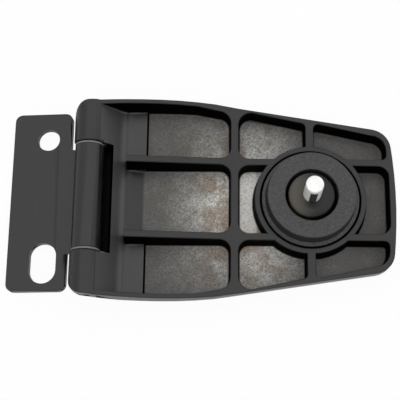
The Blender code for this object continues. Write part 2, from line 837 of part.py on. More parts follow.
def bushing(name, side, home):
    """A flanged sleeve in one end of the barrel, its flange towards the knuckle."""
    inner = FLANGE_FACE - FACE_GAP - BUSH_LENGTH
    outer = FLANGE_FACE + FLANGE_THICKNESS
    soft = FLANGE_THICKNESS / 4
    profile = [
        (BUSH_BORE, outer),
        (FLANGE_RADIUS - soft, outer),
        (FLANGE_RADIUS, outer - soft),
        (FLANGE_RADIUS, FLANGE_FACE),
        (BUSH_OUTER, FLANGE_FACE),
        (BUSH_OUTER, inner),
        (BUSH_BORE, inner),
    ]
    if side < 0:
        profile = [(radius, -y) for radius, y in reversed(profile)]
    return turned(name, profile, BORE_STEPS, home, (0.0, 0.0, PIN_HEIGHT), lying=True)


def hinge_pin(home):
    """The plain steel pin, pressed into both knuckles."""
    lean = math.tan(WALL_DRAFT) * (body_roof(0.0) - PIN_HEIGHT)
    half = HINGE_HALF_WIDTH - lean - PIN_RECESS
    profile = [
        (0.0, half),
        (PIN_RADIUS - PIN_CHAMFER, half),
        (PIN_RADIUS, half - PIN_CHAMFER),
        (PIN_RADIUS, PIN_CHAMFER - half),
        (PIN_RADIUS - PIN_CHAMFER, -half),
        (0.0, -half),
    ]
    return turned("hinge_pin", profile, BORE_STEPS, home, (0.0, 0.0, PIN_HEIGHT), lying=True)


def glass_pad(home):
    """The round rubber seat that the glass rests on, with a flange in the cover's recess."""
    base = RECESS_FLOOR + REST_GAP
    top = RIM_HEIGHT + PAD_HEIGHT
    flange = RIM_HEIGHT + PAD_FLANGE_RISE
    core = PAD_RADIUS - PAD_LEAN - PAD_EDGE
    shoulder = [
        (core + PAD_EDGE * math.cos(angle), top - PAD_EDGE * (1.0 - math.sin(angle)))
        for angle in quarter(SMALL_STEPS, 90.0, 0.0)
    ]
    profile = [
        (PAD_HOLE + PAD_SOFT, top),
        *shoulder,
        (PAD_RADIUS, flange + PAD_SOFT),
        (PAD_RADIUS + PAD_SOFT, flange),
        (PAD_FLANGE_RADIUS - PAD_SOFT, flange),
        (PAD_FLANGE_RADIUS, flange - PAD_SOFT),
        (PAD_FLANGE_RADIUS - PAD_FLANGE_LEAN, base),
        (PAD_HOLE, base),
        (PAD_HOLE, top - PAD_SOFT),
    ]
    return turned("glass_pad", profile, TURN_STEPS, home, (STUD_X, 0.0, 0.0))


def stud_bush(home):
    """The domed bush round the stud, which centres the hole in the glass."""
    base = RECESS_FLOOR + REST_GAP
    bore = STUD_RADIUS + SEAT_GAP
    rim = RIM_HEIGHT + BUSH_RIM
    top = RIM_HEIGHT + BUSH_TOP
    crown = []
    for angle in quarter(6, 90.0, 0.0):
        radius = BUSH_LIP + (BUSH_RADIUS - BUSH_LIP) * math.cos(angle)
        crown.append((radius, rim + (top - rim) * math.sin(angle)))
    profile = [(bore, top), *crown, (BUSH_RADIUS, base), (bore, base)]
    return turned("stud_bush", profile, BUSH_STEPS, home, (STUD_X, 0.0, 0.0))


def stud(home):
    """The stud that carries the glass, pressed into the cover."""
    foot = STUD_SOCKET_FLOOR + REST_GAP
    tip = RIM_HEIGHT + STUD_TIP
    profile = [
        (0.0, tip),
        (STUD_RADIUS - STUD_CHAMFER, tip),
        (STUD_RADIUS, tip - STUD_CHAMFER),
        (STUD_RADIUS, foot + STUD_CHAMFER),
        (STUD_RADIUS - STUD_CHAMFER, foot),
        (0.0, foot),
    ]
    return turned("stud", profile, STUD_STEPS, home, (STUD_X, 0.0, 0.0))


def smooth(things):
    """Shade round stretches smooth and keep real edges sharp."""
    for thing in things:
        thing.data.shade_smooth()
        thing.data.set_sharp_from_angle(angle=math.radians(35.0))


def pivot(name, home):
    """An empty on the hinge axis, which carries a body's pieces."""
    empty = bpy.data.objects.new(name, None)
    empty.location = Vector((PIN_X, 0.0, PIN_HEIGHT)) * MM
    empty.empty_display_size = 0.02
    home.objects.link(empty)
    return empty


def carry(empty, pieces):
    """Parent pieces to an empty without moving them."""
    bpy.context.view_layer.update()
    for piece in pieces:
        piece.parent = empty
        piece.matrix_parent_inverse = empty.matrix_world.inverted()


def main():
    """Build every piece of the hinge."""
    clear_scene()
    home = collection("liftgate_hinge")
    tools = collection("cutters")
    finishes = {
        "black_casting": material("black_casting", (0.035, 0.035, 0.035), 0.45, 0.1),
        "black_sheet": material("black_sheet", (0.05, 0.05, 0.052), 0.4, 0.2),
        "bushing_liner": material("bushing_liner", (0.50, 0.49, 0.45), 0.4, 0.3),
        "pin_steel": material("pin_steel", (0.45, 0.44, 0.42), 0.3, 1.0),
        "rubber": material("rubber", (0.03, 0.03, 0.03), 0.75, 0.0),
        "black_moulding": material("black_moulding", (0.015, 0.015, 0.015), 0.25, 0.0),
        "stud_steel": material("stud_steel", (0.8, 0.8, 0.79), 0.2, 1.0),
    }
    fixed = {
        leaf_plate(home, tools): "black_sheet",
        bushing("barrel_bushing_upper", 1, home): "bushing_liner",
        bushing("barrel_bushing_lower", -1, home): "bushing_liner",
    }
    moving = {
        cover_casting(home, tools): "black_casting",
        hinge_pin(home): "pin_steel",
        glass_pad(home): "rubber",
        stud_bush(home): "black_moulding",
        stud(home): "stud_steel",
    }
    for piece, finish in (fixed | moving).items():
        piece.data.materials.append(finishes[finish])
    smooth(list(fixed) + list(moving))
    carry(pivot("leaf_pivot", home), fixed)
    carry(pivot("cover_pivot", home), moving)


main()
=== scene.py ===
"""Liftgate hinge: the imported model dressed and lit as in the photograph."""
import logging
import math
from dataclasses import dataclass
from enum import Enum
from typing import Any, Union

import bmesh
import bpy
import numpy as np
from mathutils import Matrix, Vector


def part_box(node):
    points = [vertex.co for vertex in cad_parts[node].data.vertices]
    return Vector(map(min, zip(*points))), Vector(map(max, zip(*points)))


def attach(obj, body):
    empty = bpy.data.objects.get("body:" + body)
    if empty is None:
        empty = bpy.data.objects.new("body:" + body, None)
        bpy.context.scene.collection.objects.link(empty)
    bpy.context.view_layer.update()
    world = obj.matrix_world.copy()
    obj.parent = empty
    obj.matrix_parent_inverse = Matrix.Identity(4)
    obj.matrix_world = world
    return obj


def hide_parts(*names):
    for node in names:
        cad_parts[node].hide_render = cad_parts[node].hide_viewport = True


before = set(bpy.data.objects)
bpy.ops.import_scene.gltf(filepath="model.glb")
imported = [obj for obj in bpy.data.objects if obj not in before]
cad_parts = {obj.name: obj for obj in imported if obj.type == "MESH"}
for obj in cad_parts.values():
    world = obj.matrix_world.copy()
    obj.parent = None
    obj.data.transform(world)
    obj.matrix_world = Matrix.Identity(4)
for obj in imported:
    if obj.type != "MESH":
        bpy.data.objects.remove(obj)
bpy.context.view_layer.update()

LOG = logging.getLogger("liftgate_hinge")

MM = 0.001
PIN_X = -52.3331
PIN_HEIGHT = 11.0
STUD_X = 49.4669

WELD = 1e-7
CAD_WELD = 2e-6
CREASE = 40.0
FLAT_AREA = 40.0
FLAT_RISE = 0.1
AREA_WEIGHT = 100
SHORT_SIDE_SHARE = 0.45
SEAM_GAP = 0.1

OBJECT_PLACE = 3
MIX_FACTOR, MIX_FIRST, MIX_SECOND, MIX_RESULT = 0, 6, 7, 2
SCALE_FACTOR = 3
GLOSSY_RAY = 3
NOISE_MIDDLE = 0.5
WHITE = (1.0, 1.0, 1.0, 1.0)

Colour = tuple[float, float, float]
Span = tuple[float, float]


class Body(Enum):
    """The two rigid bodies that turn against each other on the pin."""

    LEAF = "leaf"
    COVER = "cover"


class Axis(Enum):
    """The line about which a turned piece is round."""

    STUD = "stud"
    PIN = "pin"


@dataclass(frozen=True)
class Signal:
    """A number on a shader socket, on which Python's operators add Math nodes."""

    graph: "Graph"
    socket: bpy.types.NodeSocket

    def __add__(self, other: "Value") -> "Signal":
        """Sum."""
        return self.graph.math("ADD", self, other)

    def __radd__(self, other: "Value") -> "Signal":
        """Sum with a number on the left."""
        return self.graph.math("ADD", other, self)

    def __sub__(self, other: "Value") -> "Signal":
        """Difference."""
        return self.graph.math("SUBTRACT", self, other)

    def __rsub__(self, other: "Value") -> "Signal":
        """Difference from a number on the left."""
        return self.graph.math("SUBTRACT", other, self)

    def __mul__(self, other: "Value") -> "Signal":
        """Product."""
        return self.graph.math("MULTIPLY", self, other)

    def __rmul__(self, other: "Value") -> "Signal":
        """Product with a number on the left."""
        return self.graph.math("MULTIPLY", other, self)

    def __pow__(self, other: "Value") -> "Signal":
        """Power."""
        return self.graph.math("POWER", self, other)

    def __abs__(self) -> "Signal":
        """Size without its sign."""
        return self.graph.math("ABSOLUTE", self)

    def at_most(self, other: "Value") -> "Signal":
        """The smaller of two numbers."""
        return self.graph.math("MINIMUM", self, other)

    def decayed(self) -> "Signal":
        """One over e to the power of this number."""
        return self.graph.math("EXPONENT", self * -1.0)

    def step(self, low: float, high: float) -> "Signal":
        """Rise smoothly from 0 at low to 1 at high."""
        return self.graph.add(
            "ShaderNodeMapRange",
            {"interpolation_type": "SMOOTHSTEP"},
            {"Value": self, "From Min": low, "From Max": high},
        )

    def drop(self, low: float, high: float) -> "Signal":
        """Fall smoothly from 1 at low to 0 at high."""
        return 1.0 - self.step(low, high)

    def band(self, rise: Span, fall: Span) -> "Signal":
        """1 between two soft edges, which rise over one span and fall over the other."""
        return self.step(*rise) * self.drop(*fall)

    def output(self, index: int) -> "Signal":
        """Another output of the same node."""
        return Signal(self.graph, self.socket.node.outputs[index])


Value = Union[Signal, float]


@dataclass(frozen=True)
class Graph:
    """A node tree that shader expressions are written into."""

    tree: bpy.types.NodeTree

    def add(
        self, kind: str, settings: dict[str, Any], sockets: dict[Any, Any], output: int = 0
    ) -> Signal:
        """Add one node.

        Args:
            kind: the node's type.
            settings: its properties, which are set first.
            sockets: a value or a signal for each input, by name or number.
            output: which output the signal is taken from.

        Returns:
            The signal of that output.
        """
        node = self.tree.nodes.new(kind)
        for name, value in settings.items():
            setattr(node, name, value)
        for key, value in sockets.items():
            if isinstance(value, Signal):
                self.tree.links.new(value.socket, node.inputs[key])
            else:
                node.inputs[key].default_value = value
        return Signal(self, node.outputs[output])

    def math(self, operation: str, *values: Value) -> Signal:
        """Add a Math node."""
        return self.add("ShaderNodeMath", {"operation": operation}, dict(enumerate(values)))

    def place(self) -> Signal:
        """Where a point lies on the object, in metres."""
        return self.add("ShaderNodeTexCoord", {}, {}, OBJECT_PLACE)

    def across(self) -> tuple[Signal, Signal, Signal]:
        """The place as three numbers in millimetres."""
        split = self.add("ShaderNodeSeparateXYZ", {}, {0: self.place()})
        per_metre = 1.0 / MM
        return split * per_metre, split.output(1) * per_metre, split.output(2) * per_metre

    def noise(self, grain: float, detail: float = 2.0, rough: float = 0.55) -> Signal:
        """Cloudy noise.

        Args:
            grain: size of its spots in millimetres.
            detail: how many finer layers it has.
            rough: how strong the finer layers are.

        Returns:
            A signal round NOISE_MIDDLE.
        """
        scale = 1.0 / (grain * MM)
        sockets = {"Vector": self.place(), "Scale": scale, "Detail": detail, "Roughness": rough}
        return self.add("ShaderNodeTexNoise", {}, sockets)

    def blend(self, share: Value, first: Any, second: Any) -> Signal:
        """Mix two colours by a share of the second."""
        sockets = {MIX_FACTOR: share, MIX_FIRST: first, MIX_SECOND: second}
        return self.add("ShaderNodeMix", {"data_type": "RGBA"}, sockets, MIX_RESULT)

    def scaled(self, colour: Signal, factor: Signal) -> Signal:
        """A colour times a number."""
        sockets = {0: colour, SCALE_FACTOR: factor}
        return self.add("ShaderNodeVectorMath", {"operation": "SCALE"}, sockets)

    def bump(self, height: Signal, depth: float) -> Signal:
        """Relief of a depth in millimetres."""
        sockets = {"Height": height, "Distance": depth * MM, "Strength": 1.0}
        return self.add("ShaderNodeBump", {}, sockets)


def opaque(colour: Colour) -> tuple[float, float, float, float]:
    """A colour with full cover."""
    return (*colour, 1.0)


@dataclass(frozen=True)
class Finish:
    """A surface finish: an even colour with a fine grain in its gloss and relief.

    Grain and relief are in millimetres. The broad grain is counted in fine grains.
    """

    slot: str
    colour: Colour
    roughness: float
    metallic: float = 0.0
    grain: float = 0.5
    relief: float = 0.01
    unevenness: float = 0.08
    broad_grain: float = 24.0
    broad_shade: float = 0.5
    fine_shade: float = 0.3

    def lay(self, graph: Graph) -> dict[str, Any]:
        """What feeds the shader's sockets.

        Args:
            graph: the tree to write into.

        Returns:
            A value or signal for each socket's name.
        """
        fine = graph.noise(self.grain)
        fleck = fine - NOISE_MIDDLE
        drift = graph.noise(self.grain * self.broad_grain, detail=3.0) - NOISE_MIDDLE
        shade = drift * self.broad_shade + fleck * self.fine_shade + 1.0
        base = graph.blend(0.0, opaque(self.colour), opaque(self.colour))
        return {
            "Base Color": graph.scaled(base, shade),
            "Roughness": (drift + fleck) * self.unevenness + self.roughness,
            "Metallic": self.metallic,
            "Normal": graph.bump(fine, self.relief),
        }

    def material(self) -> bpy.types.Material:
        """Make the finish's material."""
        made = bpy.data.materials.new(f"{self.slot}_finish")
        made.use_nodes = True
        shader = made.node_tree.nodes["Principled BSDF"]
        for name, value in self.lay(Graph(made.node_tree)).items():
            if isinstance(value, Signal):
                made.node_tree.links.new(value.socket, shader.inputs[name])
            else:
                shader.inputs[name].default_value = value
        return made


@dataclass(frozen=True)
class CoatedCasting(Finish):
    """Satin black coat on a die casting, with speckled pocket floors under a painted sheen,
    painted shade on the upright walls, and painted reflection and painted light making the slope
    and the outer web lighter.

    Places and heights are in the frame's millimetres. A span is where a soft edge begins and
    ends.
    """

    floor_level: float = 2.7
    web_level: float = 4.4
    rim_height: float = 11.5
    rim_rise: float = 0.0747
    rise_x: float = 17.17

    taper_x: float = 5.67
    taper: float = 0.157
    taper_half_width: float = 45.75
    half_width: float = 47.1
    tip_x: float = 88.2
    side_edge: Span = (0.0, 0.2)
    tip_edge: Span = (0.0, 0.5)

    floor_inset: float = 2.6
    floor_start: Span = (-29.0, -27.0)
    floor_base: Span = (2.0, 2.3)
    floor_top: Span = (2.75, 3.15)

    wall_inset: float = 1.0
    below_rim: Span = (0.45, 0.75)
    above_floor: Span = (0.45, 0.8)
    bay_start: Span = (-46.8, -46.4)
    bay_side: Span = (43.9, 44.1)
    slope_end: Span = (-36.0, -35.0)

    step_middle: Span = (-26.43, -26.23)
    ramp_start: Span = (-26.43, -26.33)
    ramp_end: Span = (-25.43, -25.13)
    ramp_base: Span = (2.8, 3.0)
    ramp_top: Span = (4.4, 4.7)
    ramp_inset: float = 1.9
    rib_side: Span = (19.35, 19.85)

    cutout_side: Span = (25.7, 25.9)
    cutout_edge: Span = (-41.4, -41.3)

    slope_start: Span = (-47.6, -46.8)
    slope_foot: Span = (-37.0, -35.0)
    slope_base: Span = (4.4, 5.2)
    slope_inset: float = 3.2

    web_start: Span = (-36.5, -35.0)
    web_end: Span = (-26.53, -26.33)
    web_base: Span = (4.0, 4.2)
    web_top: Span = (4.7, 5.2)
    web_inset: float = 3.0

    crescent_start: Span = (16.5, 18.0)
    crescent_end: Span = (24.0, 26.0)
    crescent_side: Span = (13.0, 16.0)
    # Painted sheen on the floors: a round spot and the crescent pocket.
    sheen_spot_place: Span = (20.0, -3.5)
    sheen_spot_reach: Span = (22.0, 32.0)
    sheen_spot_strength: float = 0.74
    crescent_sheen_strength: float = 0.6
    least_sheen_strength: float = 0.02

    # Painted reflection: the slope's colour below is lighter than the coat. Painted light: so is
    # the outer web's.
    slope: Colour = (0.046, 0.046, 0.0465)
    web: Colour = (0.030, 0.030, 0.033)
    dull: Colour = (0.084, 0.081, 0.077)
    # The whitish floor tone on the next line is the colour of the painted sheen.
    pale: Colour = (0.96, 0.94, 0.89)
    warm: Colour = (0.56, 0.46, 0.36)

    speck_grain: float = 0.75
    speck_contrast: float = 3.8
    crescent_calm: float = 3.0
    dull_contrast: float = 0.16
    cloud_grain: float = 9.0
    warm_clouds: Span = (0.42, 0.66)
    crescent_clean: float = 0.85
    crescent_fleck: float = 2.4
    brightest: float = 1.04

    # Share by which painted shade darkens the walls' colour.
    wall_painted_shade: float = 0.9
    wall_matt: float = 0.94
    floor_matt: float = 0.6
    coat: float = 0.96
    coat_drift: float = 0.16
    gloss: float = 0.32
    coat_grain: float = 0.3

    def inside(self, graph: Graph, inset: float) -> Signal:
        """1 further than an inset inside the cover's outline, seen from above."""
        x, y, _ = graph.across()
        tapered = (x - self.taper_x) * -self.taper + self.taper_half_width
        width = tapered.at_most(self.half_width)
        side = (width - inset - abs(y)).step(*self.side_edge)
        return side * (self.tip_x - inset - x).step(*self.tip_edge)

    def floors(self, graph: Graph) -> Signal:
        """1 on the pocket floors and 0 elsewhere, from height and the cover's outline."""
        x, _, z = graph.across()
        level = z.band(self.floor_base, self.floor_top)
        return level * self.inside(graph, self.floor_inset) * x.step(*self.floor_start)

    def walls(self, graph: Graph) -> Signal:
        """1 on the upright walls, on the step in the web and beside the barrel.

        The upright walls are the pockets' and the two beside the slope.
        """
        # This method marks painted shade: lay darkens the coat's colour on the pockets' walls, on
        # the step in the web and in the cut-out beside the barrel.
        x, y, z = graph.across()
        roof = (x - self.rise_x).at_most(0.0) * -self.rim_rise + self.rim_height
        web_rise = self.web_level - self.floor_level
        floor = x.drop(*self.step_middle) * web_rise + self.floor_level
        upright = (roof - z).step(*self.below_rim) * (z - floor).step(*self.above_floor)
        past_slope = x.step(*self.slope_end)
        bay = (1.0 - past_slope) * x.step(*self.bay_start) * abs(y).step(*self.bay_side)
        sides = upright * self.inside(graph, self.wall_inset) * (past_slope + bay)
        ramp = x.band(self.ramp_start, self.ramp_end) * z.band(self.ramp_base, self.ramp_top)
        outer = abs(y).step(*self.rib_side) * self.inside(graph, self.ramp_inset)
        beside = abs(y).drop(*self.cutout_side) * x.drop(*self.cutout_edge)
        return (sides + ramp * outer + beside).at_most(1.0)

    def incline(self, graph: Graph) -> Signal:
        """1 on the web's slope down from the knuckles, where painted reflection lightens the
        coat.
        """
        x, _, z = graph.across()
        along = x.band(self.slope_start, self.slope_foot)
        return along * self.inside(graph, self.slope_inset) * z.step(*self.slope_base)

    def outer_web(self, graph: Graph) -> Signal:
        """1 on the level web between slope and step, outside the two long ribs, where painted
        light lightens the coat.
        """
        x, y, z = graph.across()
        level = x.band(self.web_start, self.web_end) * z.band(self.web_base, self.web_top)
        return level * abs(y).step(*self.rib_side) * self.inside(graph, self.web_inset)

    def crescent(self, graph: Graph) -> Signal:
        """1 in the pocket between the cross rib and the ring rib."""
        x, y, _ = graph.across()
        return x.band(self.crescent_start, self.crescent_end) * abs(y).drop(*self.crescent_side)

    def painted_sheen(self, graph: Graph) -> Signal:
        """How strong the painted sheen on the floors is: most in the crescent by the ring rib,
        less away from it.

        A round spot fades as one over e to the power of its squared distance.
        """
        x, y, _ = graph.across()
        across = (x - self.sheen_spot_place[0]) * (1.0 / self.sheen_spot_reach[0])
        along = (y - self.sheen_spot_place[1]) * (1.0 / self.sheen_spot_reach[1])
        spot = (across * across + along * along).decayed()
        return spot * self.sheen_spot_strength + self.crescent(graph) * self.crescent_sheen_strength + self.least_sheen_strength

    def speckled(self, graph: Graph, fleck: Signal, cloud: Signal) -> Signal:
        """The floors' colour: a grained speckle from the dull tone up to the whitish colour of
        the painted sheen, with warm clouds.

        Args:
            graph: the tree to write into.
            fleck: fine noise round 0.
            cloud: broad noise round NOISE_MIDDLE.

        Returns:
            The colour.
        """
        crescent = self.crescent(graph)
        tint = cloud.step(*self.warm_clouds) * (1.0 - crescent * self.crescent_clean)
        pale = graph.blend(tint, opaque(self.pale), opaque(self.warm))
        contrast = self.speck_contrast - crescent * self.crescent_calm
        # The painted sheen decides how far each speck goes towards the whitish sheen colour.
        amount = self.painted_sheen(graph) * (fleck * contrast + 1.0) + fleck * self.dull_contrast
        grained = (fleck * crescent * self.crescent_fleck + 1.0).at_most(self.brightest)
        return graph.scaled(graph.blend(amount, opaque(self.dull), pale), grained)

    def lay(self, graph: Graph) -> dict[str, Any]:
        """The coat, with painted reflection on the slope, painted light on the outer web, the
        speckle and its painted sheen where the floors are, and painted shade on the walls.
        """
        sockets = super().lay(graph)
        floors = self.floors(graph)
        walls = self.walls(graph)
        speck = graph.noise(self.speck_grain, detail=3.0, rough=0.7)
        cloud = graph.noise(self.cloud_grain)
        floor = self.speckled(graph, speck - NOISE_MIDDLE, cloud)
        # Painted reflection on the slope, painted light on the outer web and painted shade on the
        # walls.
        slope_painted_reflection = graph.blend(self.incline(graph), sockets["Base Color"], opaque(self.slope))
        web_painted_light = graph.blend(self.outer_web(graph), slope_painted_reflection, opaque(self.web))
        coat_painted_light_and_shade = graph.scaled(web_painted_light, 1.0 - walls * self.wall_painted_shade)
        uneven = (cloud - NOISE_MIDDLE) * self.coat_drift + self.coat
        bare = (1.0 - walls * self.wall_matt) * (1.0 - floors * self.floor_matt)
        height = graph.noise(self.grain) * (1.0 - floors) * self.coat_grain + speck * floors
        sockets["Base Color"] = graph.blend(floors, coat_painted_light_and_shade, floor)
        sockets["Coat Weight"] = bare * uneven
        sockets["Coat Roughness"] = self.gloss
        sockets["Specular IOR Level"] = 0.0
        sockets["Normal"] = graph.bump(height, self.relief)
        return sockets


@dataclass(frozen=True)
class MouldedRubber(Finish):
    """Grained rubber, with painted shade making its outer side darker than its face."""

    side_base: Span = (12.4, 12.9)
    side_top: Span = (18.5, 18.8)
    side_reach: Span = (19.6, 19.9)
    side_painted_shade: float = 0.85
    side_rough: float = 0.35
    pit_contrast: float = 4.0

    def lay(self, graph: Graph) -> dict[str, Any]:
        """A grain of fine pits, and painted shade on the side between flange and face."""
        sockets = super().lay(graph)
        x, y, z = graph.across()
        reach = ((x - STUD_X) * (x - STUD_X) + y * y) ** 0.5
        # Painted shade down the pad's outer side, between flange and face.
        side_shade_mask = z.band(self.side_base, self.side_top) * reach.step(*self.side_reach)
        pits = graph.noise(self.grain, detail=3.0, rough=0.75)
        fleck = (pits - NOISE_MIDDLE) * self.pit_contrast + 1.0
        shade = fleck * (1.0 - side_shade_mask * self.side_painted_shade)
        sockets["Base Color"] = graph.scaled(sockets["Base Color"], shade)
        sockets["Roughness"] = sockets["Roughness"] + side_shade_mask * self.side_rough
        return sockets


@dataclass(frozen=True)
class DomedMoulding(Finish):
    """Smooth black moulding with a painted reflection: a warm paler tone on the side towards the
    hinge.
    """

    shine: float = 0.3
    warm_painted_reflection: Colour = (0.074, 0.066, 0.053)
    reflection_fade: Span = (STUD_X - 9.0, STUD_X + 3.0)

    def lay(self, graph: Graph) -> dict[str, Any]:
        """The moulding's colour, with the painted reflection fading out across the dome."""
        sockets = super().lay(graph)
        x, _, _ = graph.across()
        # Painted reflection: a warm paler tone fading out across the dome from the hinge side.
        share = x.drop(*self.reflection_fade)
        sockets["Base Color"] = graph.blend(share, sockets["Base Color"], opaque(self.warm_painted_reflection))
        sockets["Specular IOR Level"] = self.shine
        return sockets


@dataclass(frozen=True)
class BrightStud(Finish):
    """Bright plated steel with a painted reflection: a darker band down its lower front."""

    painted_reflection_colour: Colour = (0.035, 0.035, 0.035)
    reflection_x: float = STUD_X - 0.1
    reflection_side: Span = (1.55, 1.75)
    reflection_front: Span = (-2.4, -2.0)
    reflection_top: Span = (32.0, 32.3)

    def lay(self, graph: Graph) -> dict[str, Any]:
        """The steel's fine grain, and the painted reflection band on the side towards -Y."""
        sockets = super().lay(graph)
        x, y, z = graph.across()
        # Painted reflection: a darker band down the stud's lower front.
        beside = abs(x - self.reflection_x).drop(*self.reflection_side)
        reflection_mask = beside * y.drop(*self.reflection_front) * z.drop(*self.reflection_top)
        sockets["Base Color"] = graph.blend(reflection_mask, sockets["Base Color"], opaque(self.painted_reflection_colour))
        sockets["Metallic"] = (1.0 - reflection_mask) * self.metallic
        return sockets


COATED_CASTING = CoatedCasting(
    "black_casting", (0.006, 0.006, 0.0062), 0.25, grain=0.45, relief=0.05
)
COATED_SHEET = Finish("black_sheet", (0.008, 0.008, 0.009), 0.30, grain=0.5, relief=0.010)
LINER = Finish("bushing_liner", (0.16, 0.155, 0.14), 0.42, grain=0.3, relief=0.004)
GROUND_STEEL = Finish("pin_steel", (0.45, 0.44, 0.42), 0.32, 1.0, grain=0.2, relief=0.003)
MOULDED_RUBBER = MouldedRubber(
    "rubber", (0.030, 0.030, 0.030), 0.42, grain=0.9, relief=0.22, unevenness=0.2
)
BLACK_MOULDING = DomedMoulding(
    "black_moulding", (0.008, 0.0075, 0.007), 0.30, grain=0.8, relief=0.004
)
STUD_STEEL = BrightStud("stud_steel", (0.86, 0.86, 0.85), 0.34, 0.25, grain=0.25, relief=0.003)


def softened(corners: np.ndarray, radius: float, steps: int = 5) -> np.ndarray:
    """Round an outline's corners.

    Each corner becomes (1-t)^2 a + 2t(1-t) b + t^2 c, where b is the corner and a and c lie on
    the sides at the radius from it, or at SHORT_SIDE_SHARE of a shorter side.

    Args:
        corners: the outline's points, open, with its two ends kept.
        radius: reach of the rounding along each side.
        steps: points on each rounded corner, less one.

    Returns:
        The rounded outline.
    """
    before, here, after = corners[:-2], corners[1:-1], corners[2:]
    back = before - here
    on = after - here
    back_size = np.linalg.norm(back, axis=1, keepdims=True)
    on_size = np.linalg.norm(on, axis=1, keepdims=True)
    start = here + back / back_size * np.minimum(radius, back_size * SHORT_SIDE_SHARE)
    end = here + on / on_size * np.minimum(radius, on_size * SHORT_SIDE_SHARE)
    t = np.linspace(0.0, 1.0, steps + 1)[None, :, None]
    middle = 2 * t * (1 - t) * here[:, None]
    arcs = (1 - t) ** 2 * start[:, None] + middle + t**2 * end[:, None]
    return np.vstack([corners[:1], arcs.reshape(-1, 2), corners[-1:]])


def placed(name: str, data: bpy.types.ID) -> bpy.types.Object:
    """Make an object from its data and link it at the origin."""
    made = bpy.data.objects.new(name, data)
    bpy.context.scene.collection.objects.link(made)
    return made


def turned(
    name: str, profile: np.ndarray, centre: Colour, axis: Axis, steps: int = 144
) -> bpy.types.Object:
    """Carry a profile round an axis.

    A point is the centre plus radius times (cos u, sin u) across the axis, plus height along it.
    A profile that starts on the axis is open, and any other is closed to a ring.

    Args:
        name: the piece's name.
        profile: rows of (radius, height) in millimetres.
        centre: where height 0 lies, in millimetres.
        axis: the line that the profile turns about.
        steps: flats in a whole turn.

    Returns:
        The piece.
    """
    angle = np.linspace(0.0, math.tau, steps, endpoint=False)
    radius, height = profile[:, :1], profile[:, 1:]
    first, second = radius * np.cos(angle), radius * np.sin(angle)
    along = np.broadcast_to(height, first.shape)
    order = (first, second, along) if axis is Axis.STUD else (first, along, second)
    points = (np.stack(order, axis=-1).reshape(-1, 3) + np.array(centre)) * MM
    rows = len(profile) if profile[0, 0] > 0.0 else len(profile) - 1
    row, column = np.meshgrid(np.arange(rows), np.arange(steps), indexing="ij")
    under, beside = (row + 1) % len(profile), (column + 1) % steps
    corners = (
        row * steps + column,
        under * steps + column,
        under * steps + beside,
        row * steps + beside,
    )
    mesh = bpy.data.meshes.new(name)
    mesh.from_pydata(points.tolist(), [], np.stack(corners, axis=-1).reshape(-1, 4).tolist())
    return finished(name, mesh)


def finished(name: str, mesh: bpy.types.Mesh) -> bpy.types.Object:
    """Close a mesh's seams, turn its faces out, shade it and link it at the origin."""
    work = bmesh.new()
    work.from_mesh(mesh)
    bmesh.ops.remove_doubles(work, verts=work.verts[:], dist=WELD)
    bmesh.ops.recalc_face_normals(work, faces=work.faces[:])
    work.to_mesh(mesh)
    work.free()
    mesh.shade_smooth()
    mesh.set_sharp_from_angle(angle=math.radians(CREASE))
    return placed(name, mesh)


def merged_copy(node: str, name: str, crease: float) -> bpy.types.Object:
    """Copy a CAD node with its doubled corners joined and its round stretches shaded smooth.

    Triangles of more than FLAT_AREA square millimetres that look upward are shaded flat.

    Args:
        node: the CAD node.
        name: the copy's name.
        crease: angle in degrees above which an edge stays sharp.

    Returns:
        The copy, with normals weighted by face area.
    """
    mesh = bpy.data.meshes.new(name)
    work = bmesh.new()
    work.from_mesh(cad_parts[node].data)
    bmesh.ops.remove_doubles(work, verts=work.verts[:], dist=CAD_WELD)
    work.to_mesh(mesh)
    work.free()
    mesh.materials.clear()
    mesh.shade_smooth()
    mesh.set_sharp_from_angle(angle=math.radians(crease))
    count = len(mesh.polygons)
    areas, normals = np.empty(count), np.empty(count * 3)
    mesh.polygons.foreach_get("area", areas)
    mesh.polygons.foreach_get("normal", normals)
    bends = np.logical_or(areas < FLAT_AREA * MM**2, normals[2::3] < FLAT_RISE)
    mesh.polygons.foreach_set("use_smooth", bends)
    made = placed(name, mesh)
    weighted = made.modifiers.new("Even faces", "WEIGHTED_NORMAL")
    weighted.keep_sharp = True
    weighted.weight = AREA_WEIGHT
    return made


def dress(piece: bpy.types.Object, node: str, body: Body, finish: Finish) -> None:
    """Give a piece its finish, and let it stand for a CAD node on a body."""
    piece.data.materials.append(finish.material())
    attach(piece, body.value)
    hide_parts(node)
    LOG.info("%s: %d faces", piece.name, len(piece.data.polygons))


